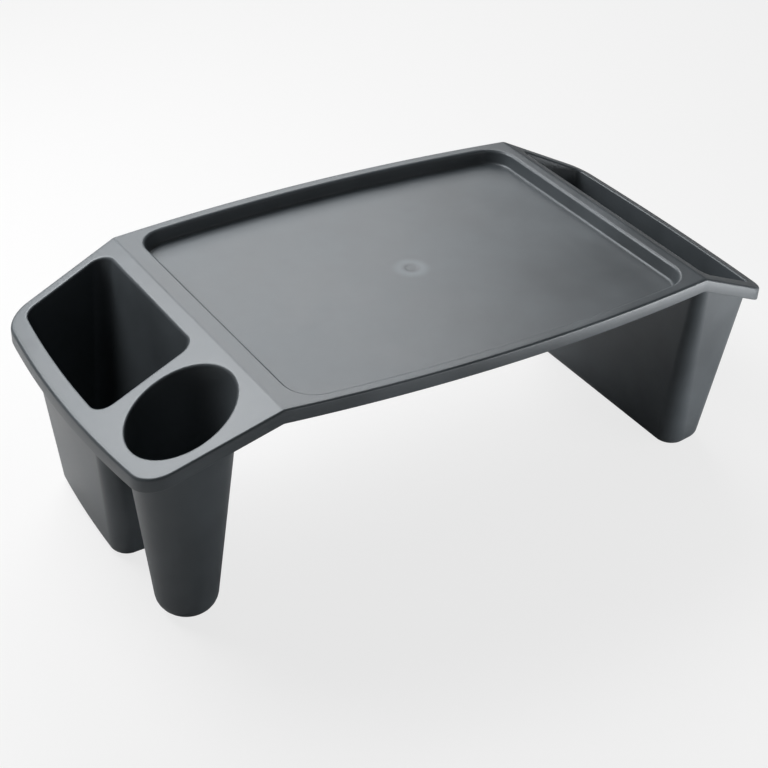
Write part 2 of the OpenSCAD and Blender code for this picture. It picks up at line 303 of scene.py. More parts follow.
@dataclass(frozen=True)
class Bend:
    """The rounded bend between the deck and one wing.

    Attributes:
        x: Place of the bend along the table.
        side: The wing that it starts.
        slope: Fall of the wing per unit of reach.
        radius: Radius of the rounding along the bend.
    """

    x: float
    side: Side
    slope: float
    radius: float

    @property
    def angle(self) -> float:
        """Angle between the deck and the wing."""
        return math.atan(self.slope)

    @property
    def tangent(self) -> float:
        """Length of the rounding on the deck's side of the bend."""
        return self.radius * math.tan(self.angle / 2)

    def drop(self, x: np.ndarray) -> np.ndarray:
        """Gives how far the top surface has dropped at places along the table.

        Before the rounding the drop is zero. On it, it is that of a circle: the radius less the root
        of radius squared less the square of the way along it. Past it, it is slope times reach.

        Args:
            x: Places along the table.

        Returns:
            The drops.
        """
        reach = self.side.value * (x - self.x)
        way = np.clip(reach + self.tangent, 0, self.radius * math.sin(self.angle))
        rounded = self.radius - np.sqrt(self.radius**2 - way**2)
        return np.where(reach > self.tangent * math.cos(self.angle), self.slope * reach, rounded)

    @property
    def middle_turn(self) -> float:
        """Turn that the rounding has made at the bend itself."""
        return math.asin(math.tan(self.angle / 2))

    def deck_stations(self) -> np.ndarray:
        """Gives the distances from the bend, on the deck's side, at equal turns of the rounding."""
        turns = np.linspace(0, self.middle_turn, Fineness.BEND.value + 1)
        return self.tangent - self.radius * np.sin(turns)

    def wing_stations(self) -> np.ndarray:
        """Gives the reaches on the wing's side at equal turns of the rounding."""
        turns = np.linspace(self.middle_turn, self.angle, Fineness.BEND.value + 1)
        return self.radius * np.sin(turns) - self.tangent


@dataclass(frozen=True)
class Shell:
    """Driving sizes that every region of the moulding shares.

    Attributes:
        wall: Thickness of the plastic.
        flange: Width of the top flange that the skirt hangs from.
        skirt: Height of the skirt.
        skirt_lean: How far the skirt leans in towards its lower edge.
        edge_radius: Rounding along the skirt's top edge.
        hem_radius: Rounding along the skirt's lower edge.
        lip_radius: Rounding of the lips round the mouths.
        lip_land: Flat of a lip outside its wall.
        wing_drop: How far each wing has dropped at its end corners.
        end_depth: Depth of a wing between its end corners.
        end_bow: How far the wings' ends bow outwards.
        deck_bow: How far the deck's long edges bow outwards.
        left_bend_radius: Rounding of the bend between the deck and the left wing.
        right_bend_radius: The same at the right wing.
    """

    wall: float = 2.4 * MM
    flange: float = 4.6 * MM
    skirt: float = 11.5 * MM
    skirt_lean: float = 0.2 * MM
    edge_radius: float = 1.8 * MM
    hem_radius: float = 0.7 * MM
    lip_radius: float = 1.8 * MM
    lip_land: float = 0.5 * MM
    wing_drop: float = 38.5 * MM
    end_depth: float = 244.1 * MM
    end_bow: float = 7.8 * MM
    deck_bow: float = 12 * MM
    left_bend_radius: float = 7 * MM
    right_bend_radius: float = 10 * MM

    @cached_property
    def height(self) -> float:
        """Height of the deck's top surface, from the frame."""
        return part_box("deck_border")[1][2]

    @cached_property
    def depth(self) -> float:
        """Depth of the table over its bowed long edges, from the frame."""
        return CAD_BOX[1][1] - CAD_BOX[0][1]

    @cached_property
    def lip_width(self) -> float:
        """Width of the ring that a lip fills round its wall line."""
        return self.wall + self.lip_land

    @cached_property
    def bend_depth(self) -> float:
        """Depth between the long edges at a bend."""
        return self.depth - 2 * self.deck_bow

    def run(self, side: Side) -> float:
        """Gives the reach of a wing past its bend, from the frame.

        Args:
            side: Which wing.

        Returns:
            The reach.
        """
        if side is Side.LEFT:
            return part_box("deck_border")[0][0] - CAD_BOX[0][0]
        return CAD_BOX[1][0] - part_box("deck_border")[1][0]

    def slope(self, side: Side) -> float:
        """Gives the fall of a wing per unit of reach."""
        return self.wing_drop / (self.run(side) - self.end_bow)

    @cached_property
    def bends(self) -> dict[Side, Bend]:
        """The two bends between the deck and the wings.

        Returns:
            Each bend by its side.
        """
        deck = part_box("deck_border")
        return {Side.LEFT: Bend(deck[0][0], Side.LEFT, self.slope(Side.LEFT), self.left_bend_radius),
                Side.RIGHT: Bend(deck[1][0], Side.RIGHT, self.slope(Side.RIGHT), self.right_bend_radius)}

    def top(self, x: np.ndarray) -> np.ndarray:
        """Gives the height of the top surface: the deck's height less the drops of both bends."""
        return self.height - sum(bend.drop(x) for bend in self.bends.values())

    def lift(self, plan: np.ndarray, rise: float | np.ndarray) -> np.ndarray:
        """Puts plan points at a rise above the top surface, which is negative below it."""
        return np.stack([plan[..., 0], plan[..., 1], self.top(plan[..., 0]) + rise], axis=-1)

    def rim_section(self) -> np.ndarray:
        """Draws the closed section of the rim, as inset from the outer edge and rise above the top.

        It runs from the flange over the rounded edge, down the leaning skirt, round the hem, up the
        inner face with a fillet, and back under the flange.

        Returns:
            Points of the section, counter-clockwise with the inset along the first axis.
        """
        edge, hem, lean, wall = self.edge_radius, self.hem_radius, self.skirt_lean, self.wall
        fillet = wall / 2
        return np.concatenate([
            [(self.flange, 0)],
            section_arc((edge, -edge), edge, 90, 180, Fineness.LIP.value),
            section_arc((lean + hem, hem - self.skirt), hem, 180, 270, Fineness.LIP.value // 2),
            section_arc((lean + wall - hem, hem - self.skirt), hem, 270, 360, Fineness.LIP.value // 2),
            section_arc((wall + fillet, -wall - fillet), fillet, 180, 90, Fineness.LIP.value // 2),
            [(self.flange, -wall)],
        ])


@dataclass(frozen=True)
class MouldedPlastic:
    """Satin charcoal polypropylene as it comes out of the mould.

    Attributes:
        name: Name of the material.
        gate: Place of the gate that the plastic came in by.
        colour: Base colour, linear.
        gloss_tint: Tint of its reflections.
        roughness: Roughness of the satin surface.
        grain_depth: Height of the fine grain.
        grain_scale: Cells of the fine grain per metre.
        grain_detail: Octaves of the grain.
        warp_depth: Height of the slow waves that shrinkage leaves.
        warp_scale: Waves per metre.
        warp_detail: Octaves of the waves.
        flow_scale: Clouds of the flow marks per metre.
        flow_tint: How much the flow marks lighten and darken the colour.
        flow_gloss: How much the flow marks change the roughness.
        blush_radii: Where the pale blush round the gate starts, is strongest and ends.
        blush_lift: How much the blush lightens the colour.
    """

    name: str
    gate: tuple[float, float, float]
    colour: tuple[float, float, float] = (0.061, 0.070, 0.077)
    gloss_tint: tuple[float, float, float] = (0.95, 1.0, 1.045)
    roughness: float = 0.37
    grain_depth: float = 0.06 * MM
    grain_scale: float = 1500.0
    grain_detail: float = 2.0
    warp_depth: float = 0.5 * MM
    warp_scale: float = 13.0
    warp_detail: float = 4.0
    flow_scale: float = 14.0
    flow_tint: float = 0.22
    flow_gloss: float = 0.03
    blush_radii: tuple[float, float, float] = (4 * MM, 9 * MM, 17 * MM)
    blush_lift: float = 0.7

    def build(self) -> bpy.types.Material:
        """Builds the material from the shared node groups.

        Returns:
            The finished material.
        """
        material = bpy.data.materials.new(self.name)
        material.use_nodes = True
        nodes, links = material.node_tree.nodes, material.node_tree.links
        shader = nodes["Principled BSDF"]
        shader.inputs["Specular Tint"].default_value = (*self.gloss_tint, 1)
        place = nodes.new("ShaderNodeTexCoord").outputs["Object"]
        blush = placed(place, blush_group(), {
            "Colour": (*self.colour, 1), "Gate": self.gate, "Lift": self.blush_lift,
            "Start": self.blush_radii[0], "Crest": self.blush_radii[1], "End": self.blush_radii[2]})
        flow = placed(place, flow_marks_group(), {
            "Scale": self.flow_scale, "Tint": self.flow_tint,
            "Roughness": self.roughness, "Gloss change": self.flow_gloss})
        links.new(blush.outputs["Colour"], flow.inputs["Colour"])
        links.new(flow.outputs["Colour"], shader.inputs["Base Color"])
        links.new(flow.outputs["Roughness"], shader.inputs["Roughness"])
        warp = placed(place, relief_group(), {"Scale": self.warp_scale, "Detail": self.warp_detail})
        grain = placed(place, relief_group(), {"Scale": self.grain_scale, "Detail": self.grain_detail})
        waves, pits = nodes.new("ShaderNodeBump"), nodes.new("ShaderNodeBump")
        waves.inputs["Distance"].default_value = self.warp_depth
        pits.inputs["Distance"].default_value = self.grain_depth
        links.new(warp.outputs["Height"], waves.inputs["Height"])
        links.new(grain.outputs["Height"], pits.inputs["Height"])
        links.new(waves.outputs["Normal"], pits.inputs["Normal"])
        links.new(pits.outputs["Normal"], shader.inputs["Normal"])
        return material


def placed(place: bpy.types.NodeSocket, group: bpy.types.NodeTree,
           values: dict[str, float | tuple[float, ...]]) -> bpy.types.Node:
    """Puts a shared group into a material, with its own values.

    Args:
        place: Socket of the material that gives the place on the piece.
        group: The shared group.
        values: Value of each of its other inputs, by name.

    Returns:
        The new node.
    """
    tree = place.id_data
    node = tree.nodes.new("ShaderNodeGroup")
    node.node_tree = group
    tree.links.new(place, node.inputs["Place"])
    for socket, value in values.items():
        node.inputs[socket].default_value = value
    return node


def calculated(group: bpy.types.NodeTree, operation: str,
               *terms: bpy.types.NodeSocket | float) -> bpy.types.NodeSocket:
    """Adds a Math node to a group.

    Args:
        group: The group.
        operation: What the node works out.
        terms: A socket or a plain number for each of its inputs.

    Returns:
        The socket with its result.
    """
    node = group.nodes.new("ShaderNodeMath")
    node.operation = operation
    for socket, term in zip(node.inputs, terms):
        if isinstance(term, bpy.types.NodeSocket):
            group.links.new(term, socket)
        else:
            socket.default_value = term
    return node.outputs["Value"]


def scaled(group: bpy.types.NodeTree, colour: bpy.types.NodeSocket,
           factor: bpy.types.NodeSocket) -> bpy.types.NodeSocket:
    """Adds a node that scales a colour.

    Args:
        group: The group that it goes into.
        colour: Socket with the colour.
        factor: Socket with the factor.

    Returns:
        The socket with the scaled colour.
    """
    node = group.nodes.new("ShaderNodeVectorMath")
    node.operation = "SCALE"
    group.links.new(colour, node.inputs[0])
    group.links.new(factor, node.inputs["Scale"])
    return node.outputs["Vector"]


def new_group(name: str, inputs: dict[str, str], outputs: dict[str, str]) -> bpy.types.NodeTree:
    """Makes an empty shader node group with named sockets.

    Args:
        name: Name of the group.
        inputs: Socket type of each input, by name.
        outputs: Socket type of each output, by name.

    Returns:
        The group, with its input and output nodes in place.
    """
    group = bpy.data.node_groups.new(name, "ShaderNodeTree")
    for socket, kind in inputs.items():
        group.interface.new_socket(socket, in_out="INPUT", socket_type=kind)
    for socket, kind in outputs.items():
        group.interface.new_socket(socket, in_out="OUTPUT", socket_type=kind)
    group.nodes.new("NodeGroupInput").name = "given"
    group.nodes.new("NodeGroupOutput").name = "result"
    return group


def flow_marks_group() -> bpy.types.NodeTree:
    """Gives the group that clouds a moulded surface, as plastic does where it flowed unevenly.

    Noise of about -1 to 1 lightens and darkens the colour by the tint, and raises and lowers the
    roughness by the gloss change.

    Returns:
        The shared node group.
    """
    name = "flow_marks"
    if name in bpy.data.node_groups:
        return bpy.data.node_groups[name]
    number, colour, vector = "NodeSocketFloat", "NodeSocketColor", "NodeSocketVector"
    group = new_group(name, {"Place": vector, "Colour": colour, "Scale": number, "Tint": number,
                             "Roughness": number, "Gloss change": number},
                      {"Colour": colour, "Roughness": number})
    nodes, links = group.nodes, group.links
    given, result = nodes["given"], nodes["result"]
    noise = nodes.new("ShaderNodeTexNoise")
    noise.inputs["Detail"].default_value = FLOW_DETAIL
    links.new(given.outputs["Place"], noise.inputs["Vector"])
    links.new(given.outputs["Scale"], noise.inputs["Scale"])
    swing = nodes.new("ShaderNodeMapRange")
    swing.clamp = False
    swing.inputs["From Min"].default_value, swing.inputs["From Max"].default_value = NOISE_SPAN
    swing.inputs["To Min"].default_value = -1
    swing.inputs["To Max"].default_value = 1
    links.new(noise.outputs["Fac"], swing.inputs["Value"])
    shade = calculated(group, "MULTIPLY_ADD", swing.outputs["Result"], given.outputs["Tint"], 1.0)
    links.new(scaled(group, given.outputs["Colour"], shade), result.inputs["Colour"])
    rough = calculated(group, "MULTIPLY_ADD", swing.outputs["Result"], given.outputs["Gloss change"],
                       given.outputs["Roughness"])
    links.new(rough, result.inputs["Roughness"])
    return group


def relief_group() -> bpy.types.NodeTree:
    """Gives the group with the relief of a moulded face, as a height of about 0 to 1.

    Returns:
        The shared node group.
    """
    name = "mould_relief"
    if name in bpy.data.node_groups:
        return bpy.data.node_groups[name]
    number = "NodeSocketFloat"
    group = new_group(name, {"Place": "NodeSocketVector", "Scale": number, "Detail": number},
                      {"Height": number})
    nodes, links = group.nodes, group.links
    noise = nodes.new("ShaderNodeTexNoise")
    links.new(nodes["given"].outputs["Place"], noise.inputs["Vector"])
    for socket in ("Scale", "Detail"):
        links.new(nodes["given"].outputs[socket], noise.inputs[socket])
    links.new(noise.outputs["Fac"], nodes["result"].inputs["Height"])
    return group


def blush_group() -> bpy.types.NodeTree:
    """Gives the group that lightens a soft ring round the gate, where hot plastic came in.

    The ring rises by a smooth step from its start to its crest and falls by another to its end.
    The colour is scaled by one plus the lift times the ring.

    Returns:
        The shared node group.
    """
    name = "gate_blush"
    if name in bpy.data.node_groups:
        return bpy.data.node_groups[name]
    number, colour, vector = "NodeSocketFloat", "NodeSocketColor", "NodeSocketVector"
    group = new_group(name, {"Place": vector, "Colour": colour, "Gate": vector, "Start": number,
                             "Crest": number, "End": number, "Lift": number}, {"Colour": colour})
    nodes, links = group.nodes, group.links
    given, result = nodes["given"], nodes["result"]
    away = nodes.new("ShaderNodeVectorMath")
    away.operation = "DISTANCE"
    links.new(given.outputs["Place"], away.inputs[0])
    links.new(given.outputs["Gate"], away.inputs[1])
    slopes = []
    for low, high, first, last in (("Start", "Crest", 0, 1), ("Crest", "End", 1, 0)):
        step = nodes.new("ShaderNodeMapRange")
        step.interpolation_type = "SMOOTHSTEP"
        step.inputs["To Min"].default_value = first
        step.inputs["To Max"].default_value = last
        links.new(away.outputs["Value"], step.inputs["Value"])
        links.new(given.outputs[low], step.inputs["From Min"])
        links.new(given.outputs[high], step.inputs["From Max"])
        slopes.append(step.outputs["Result"])
    ring = calculated(group, "MULTIPLY", *slopes)
    lift = calculated(group, "MULTIPLY_ADD", ring, given.outputs["Lift"], 1.0)
    links.new(scaled(group, given.outputs["Colour"], lift), result.inputs["Colour"])
    return group


def swept(name: str, rings: np.ndarray, flipped: bool) -> bpy.types.Object:
    """Makes a solid from rings that follow each other, with a cap on the first and the last.

    Args:
        name: Name of the piece.
        rings: Rings of equal counts, as an array of ring, point and place.
        flipped: Whether the faces are turned over.

    Returns:
        The new object.
    """
    count = rings.shape[1]
    last = (len(rings) - 1) * count
    caps = [np.arange(count)[None, ::-1], last + np.arange(count)[None]]
    return put_mesh(name, rings.reshape(-1, 3), [grid_quads(*rings.shape[:2], False), *caps], flipped)


def plate(name: str, shell: Shell, outer: np.ndarray, holes: list[np.ndarray],
          far_bend: bool) -> bpy.types.Object:
    """Makes a plate of even thickness that follows the top surface between an outline and its holes.

    The outline runs from one end of a bend round to the other, so its points pair off from both
    ends. Along a bend's rounding strips of quads join the pairs, and the flat rest is filled up to
    the holes. Every point is then lifted onto the top surface. The underside is the same lowered by
    the wall, and quads close every edge.

    Args:
        name: Name of the piece.
        shell: The shared sizes.
        outer: Outer outline in plan, counter-clockwise.
        holes: Outlines of the holes, counter-clockwise.
        far_bend: Whether the middle of the outline lies along a second bend.

    Returns:
        The new object.
    """
    count, bend = len(outer), Fineness.BEND.value
    middle = count // 2
    first = np.arange(bend)
    flat = np.ones(count, dtype=bool)
    flat[:bend] = flat[count - bend:] = False
    if far_bend:
        first = np.concatenate([first, np.arange(middle - 1 - bend, middle - 1)])
        flat[middle - bend:middle + bend] = False
    strips = np.stack([first, first + 1, count - 2 - first, count - 1 - first], axis=1)
    loops = [outer, *holes]
    plan = np.concatenate(loops)
    numbers = np.concatenate([np.flatnonzero(flat), np.arange(count, len(plan))])
    # Each plan point gets a height of zero, so that the outlines are filled as they lie
    outlines = [np.pad(loop, ((0, 0), (0, 1))).tolist() for loop in (outer[flat], *holes)]
    triangles = numbers[np.array(tessellate_polygon(outlines))]
    starts = np.cumsum([0] + [len(loop) for loop in loops])
    here = np.arange(len(plan))
    beyond = np.concatenate([start + (np.arange(len(loop)) + 1) % len(loop)
                             for start, loop in zip(starts, loops)])
    sides = np.stack([here, here + len(plan), beyond + len(plan), beyond], axis=1)
    sides[count:] = sides[count:, ::-1]
    points = np.concatenate([shell.lift(plan, 0), shell.lift(plan, -shell.wall)])
    under = [faces[:, ::-1] + len(plan) for faces in (strips, triangles)]
    return put_mesh(name, points, [strips, triangles, *under, sides], False)


@dataclass(frozen=True)
class SubAssembly(ABC):
    """A group of pieces that are built and dressed together.

    Attributes:
        shell: The shared sizes.
    """

    shell: Shell

    @abstractmethod
    def pieces(self) -> dict[str, bpy.types.Object]:
        """Builds every piece.

        Returns:
            Each piece by the name of the node that it stands for.
        """

    def dressed(self, plastic: bpy.types.Material) -> dict[str, bpy.types.Object]:
        """Builds every piece and gives it its plastic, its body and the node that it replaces.

        Args:
            plastic: The material that all of them share.

        Returns:
            Each piece by the name of its node.
        """
        pieces = self.pieces()
        for node, piece in pieces.items():
            piece.data.materials.append(plastic)
            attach(piece, ROOT_BODY)
            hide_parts(node)
        return pieces


@dataclass(frozen=True)
class Deck(SubAssembly):
    """The level middle of the table: its dished tray, the border round it and the two long rims.

    Attributes:
        tray_depth: Depth of the tray below the deck.
        border_left: Border between the left bend and the tray's wall line.
        border_right: Border between that line and the right bend.
        border_long: Border along the long edges.
        corner_radius: Plan radius of the tray's corners.
        tray_lip: Rounding of the lip round the tray.
        tray_lean: How far the tray's wall leans in towards the floor.
        tray_fillet: Fillet between the wall and the floor.
        gate_radius: Radius of the round gate mark in the floor.
        gate_edge: Width of the gate mark's soft edge.
        gate_sink: Depth of the gate mark.
        gate_hub_share: Share of the mark's flat where its innermost ring lies.
        gate_right: How far the mark lies right of the deck's middle.
        gate_far: How far the mark lies beyond the middle of the depth.
    """

    tray_depth: float = 12 * MM
    border_left: float = 16 * MM
    border_right: float = 10.6 * MM
    border_long: float = 10.2 * MM
    corner_radius: float = 23 * MM
    tray_lip: float = 2.8 * MM
    tray_lean: float = 1 * MM
    tray_fillet: float = 2.6 * MM
    gate_radius: float = 6 * MM
    gate_edge: float = 2.4 * MM
    gate_sink: float = 0.15 * MM
    gate_hub_share: float = 0.1
    gate_right: float = 5.6 * MM
    gate_far: float = 3.4 * MM

    @cached_property
    def middle(self) -> float:
        """Place of the deck's middle along X."""
        bends = self.shell.bends
        return (bends[Side.LEFT].x + bends[Side.RIGHT].x) / 2

    @cached_property
    def length(self) -> float:
        """Length of the deck from bend to bend."""
        bends = self.shell.bends
        return bends[Side.RIGHT].x - bends[Side.LEFT].x

    @cached_property
    def bow_radius(self) -> float:
        """Radius of the long edges: half the chord squared plus the bow squared, over twice the bow."""
        bow = self.shell.deck_bow
        return (self.length**2 / 4 + bow**2) / (2 * bow)

    def edge(self, x: np.ndarray, inset: float | np.ndarray) -> np.ndarray:
        """Gives the half depth of the bowed long edge, taken in by an inset.

        It is the root of the inset radius squared less the square of the distance from the middle,
        less the distance of the bow's centre from the table's middle line.

        Args:
            x: Places along the table.
            inset: How far inside the outer edge.

        Returns:
            The distances from the middle line.
        """
        centre = self.bow_radius - self.shell.depth / 2
        return np.sqrt((self.bow_radius - inset)**2 - (x - self.middle)**2) - centre

    @cached_property
    def stations(self) -> np.ndarray:
        """Places along the table where the rims and the border have points.

        Returns:
            The places, from the left bend to the right one.
        """
        left, right = self.shell.bends[Side.LEFT], self.shell.bends[Side.RIGHT]
        near_left = left.x + left.deck_stations()[::-1]
        near_right = right.x - right.deck_stations()
        between = np.linspace(near_left[-1], near_right[0], Fineness.LONG_EDGE.value + 1)[1:-1]
        return np.concatenate([near_left, between, near_right])

    @cached_property
    def mouth(self) -> np.ndarray:
        """The tray's wall line: straight ends and bowed long edges between rounded corners.

        Returns:
            The outline in plan, counter-clockwise.
        """
        left = self.shell.bends[Side.LEFT].x + self.border_left
        right = self.shell.bends[Side.RIGHT].x - self.border_right
        near_left, near_right = (float(self.edge(np.array(x), self.border_long)) for x in (left, right))
        corners = [(left, -near_left), (right, -near_right), (right, near_right), (left, near_left)]
        radii = (self.bow_radius - self.border_long, 0.0) * 2
        edges = [Edge(corners[i], corners[(i + 1) % 4], radii[i]) for i in range(4)]
        steps = (Fineness.LONG_EDGE.value, Fineness.EDGE.value) * 2
        return rounded_outline(edges, self.corner_radius, steps)

    @cached_property
    def gate(self) -> tuple[float, float, float]:
        """Place of the gate mark in the tray's floor."""
        return self.middle + self.gate_right, self.gate_far, self.shell.height - self.tray_depth

    @cached_property
    def floor_inset(self) -> float:
        """How far inside the wall line the flat floor begins."""
        return self.tray_lean + self.tray_fillet

    def wall_section(self) -> np.ndarray:
        """Draws the closed section of the tray's wall, outwards from its wall line and above the deck.

        Returns:
            Points from the lip's outer edge over the lip, down the wall, round the fillet, and back
            along the underside.
        """
        lip, fillet, wall = self.tray_lip, self.tray_fillet, self.shell.wall
        width, centre = self.shell.lip_width, (-self.floor_inset, self.tray_fillet - self.tray_depth)
        return np.concatenate([
            [(width, 0)],
            section_arc((lip, -lip), lip, 90, 180, Fineness.LIP.value),
            section_arc(centre, fillet, 0, -90, Fineness.FILLET.value),
            section_arc(centre, fillet + wall, -90, 0, Fineness.FILLET.value),
            [(wall, -wall), (width, -wall)],
        ])

    def tray_wall(self) -> bpy.types.Object:
        """Carries the wall's section round the tray's wall line as a closed ring.

        Returns:
            The wall piece.
        """
        section = self.wall_section()
        rings = np.stack([self.shell.lift(grown(self.mouth, out), 0) for out in section[:, 0]])
        rings[..., 2] = self.shell.height + section[:, 1:]
        return put_mesh("tray_wall_skin", rings.reshape(-1, 3), [grid_quads(*rings.shape[:2], True)], False)

    def tray_floor(self) -> bpy.types.Object:
        """Makes the floor as rings that widen from the gate mark to the tray's wall.

        Inside the mark the rings are circles about the gate. Outside it each point moves straight
        from the mark's edge to the floor's outline. The mark's depth falls to zero over its soft
        edge by a smooth step, 3t squared less 2t cubed.

        Returns:
            The floor piece.
        """
        outline = grown(self.mouth, -self.floor_inset)
        gate = np.array(self.gate[:2])
        rays = unit(outline - gate)
        flat = self.gate_radius - self.gate_edge
        edge_ways = np.linspace(0, self.gate_edge, Fineness.LIP.value + 1)[1:]
        radii = np.concatenate([flat * np.linspace(self.gate_hub_share, 1, Fineness.GATE.value),
                                flat + edge_ways])
        rounds = gate + radii[:, None, None] * rays
        shares = (np.arange(1, Fineness.EDGE.value + 1) / Fineness.EDGE.value)[:, None, None]
        spread = rounds[-1] + shares * (outline - rounds[-1])
        plan = np.concatenate([rounds, spread])
        t = np.clip((self.gate_radius - radii) / self.gate_edge, 0, 1)
        sink = np.concatenate([self.gate_sink * (3 * t**2 - 2 * t**3), np.zeros(len(spread))])
        heights = np.broadcast_to((self.gate[2] - sink)[:, None], plan.shape[:2])
        top = np.concatenate([plan, heights[..., None]], axis=2)
        under = top[-1:] - np.array([0, 0, self.shell.wall])
        return swept("tray_floor_skin", np.concatenate([top, under]), True)

    def border(self) -> bpy.types.Object:
        """Makes the flat border between the rims, the bends and the tray's lip.

        Returns:
            The border piece.
        """
        x = self.stations
        edge = self.edge(x, self.shell.flange)
        outer = np.concatenate([np.stack([x, -edge], axis=1), np.stack([x, edge], axis=1)[::-1]])
        return plate("deck_border_skin", self.shell, outer, [grown(self.mouth, self.shell.lip_width)], True)

    def long_rim(self, name: str, way: int) -> bpy.types.Object:
        """Sweeps the rim's section along one bowed long edge, cut square at the two bends.

        Args:
            name: Name of the piece.
            way: -1 for the edge towards the user, 1 for the far one.

        Returns:
            The rim piece.
        """
        section = self.shell.rim_section()
        x = np.broadcast_to(self.stations[:, None], (len(self.stations), len(section)))
        plan = np.stack([x, way * self.edge(x, section[:, 0])], axis=2)
        rings = self.shell.lift(plan, section[:, 1])
        return swept(name, rings, way > 0)

    def pieces(self) -> dict[str, bpy.types.Object]:
        """Builds every piece of the deck.

        Returns:
            Each piece by the name of the node that it stands for.
        """
        return {"tray_floor": self.tray_floor(),
                "tray_wall": self.tray_wall(),
                "deck_border": self.border(),
                "front_rim": self.long_rim("front_rim_skin", -1),
                "rear_rim": self.long_rim("rear_rim_skin", 1)}


@dataclass(frozen=True)
class Pocket:
    """A drafted pocket that is a leg too: lip, walls and flat foot.

    Attributes:
        name: Name of the piece.
        mouth: Inner wall line at the wing's surface, in the wing's own plan.
        foot: Outer wall line at the ground, with as many points.
        under_radius: Rounding round the underside of the foot.
        inner_radius: Fillet round the floor inside.
    """

    name: str
    mouth: np.ndarray
    foot: np.ndarray
    under_radius: float
    inner_radius: float


